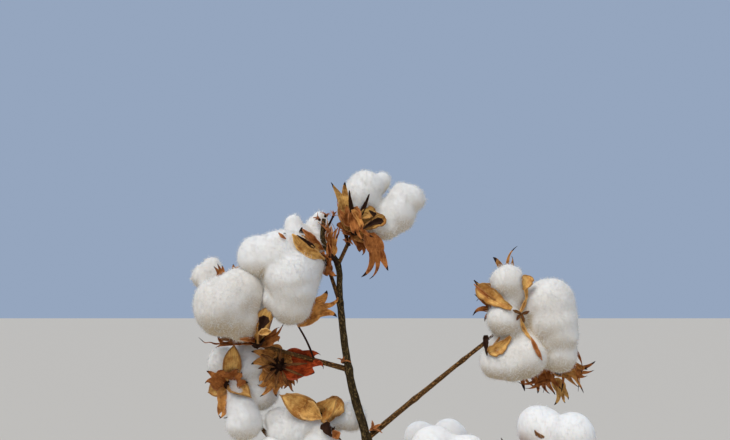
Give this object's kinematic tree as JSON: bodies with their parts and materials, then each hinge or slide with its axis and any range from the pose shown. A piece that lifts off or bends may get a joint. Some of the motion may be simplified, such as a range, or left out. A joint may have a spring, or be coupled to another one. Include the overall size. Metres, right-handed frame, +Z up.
{
  "type": "cotton plant",
  "caption": "Whole cotton plant at harvest, leafless, with a leaning stem, rising fruiting boughs and open bolls of white lint in dry burrs.",
  "frame": {"origin": "centre of the flat cut under the main stem, at ground level", "axes": "+Z up, +X towards the side that the long right-hand bough reaches, +Y away from the side seen in the picture"},
  "size_m": [0.4388, 0.3929, 0.952],
  "materials": {
    "bark": "rough dark brown bark",
    "burr": "dry tan woody husk",
    "lint": "matte white fibre",
    "dry_leaf": "dry papery leaf"
  },
  "bodies": {
    "root": {"main_stem": "bark", "fork_bough": "bark", "back_bough": "bark", "left_bough": "bark", "right_bough": "bark", "low_left_bough": "bark", "bough_06": "bark", "bough_07": "bark", "bough_08": "bark", "bough_09": "bark", "bough_10": "bark", "bough_11": "bark", "bough_12": "bark", "bough_13": "bark", "bough_14": "bark", "basal_bough": "bark", "boll_01_burr": "burr", "boll_01_lint": "lint", "boll_02_burr": "burr", "boll_02_lint": "lint", "boll_03_burr": "burr", "boll_03_lint": "lint", "boll_04_burr": "burr", "boll_04_lint": "lint", "boll_05_burr": "burr", "boll_05_lint": "lint", "boll_06_burr": "burr", "boll_06_lint": "lint", "boll_07_burr": "burr", "boll_07_lint": "lint", "boll_08_burr": "burr", "boll_08_lint": "lint", "boll_09_burr": "burr", "boll_09_lint": "lint", "boll_10_burr": "burr", "boll_10_lint": "lint", "boll_11_burr": "burr", "boll_11_lint": "lint", "boll_12_burr": "burr", "boll_12_lint": "lint", "boll_13_burr": "burr", "boll_13_lint": "lint", "boll_14_burr": "burr", "boll_14_lint": "lint", "boll_15_burr": "burr", "boll_15_lint": "lint", "boll_16_burr": "burr", "boll_16_lint": "lint", "boll_17_burr": "burr", "boll_17_lint": "lint", "boll_18_burr": "burr", "boll_18_lint": "lint", "empty_burr_1": "burr", "dry_leaf_1": "dry_leaf", "dry_bud_1": "dry_leaf"}
  },
  "joints": []
}
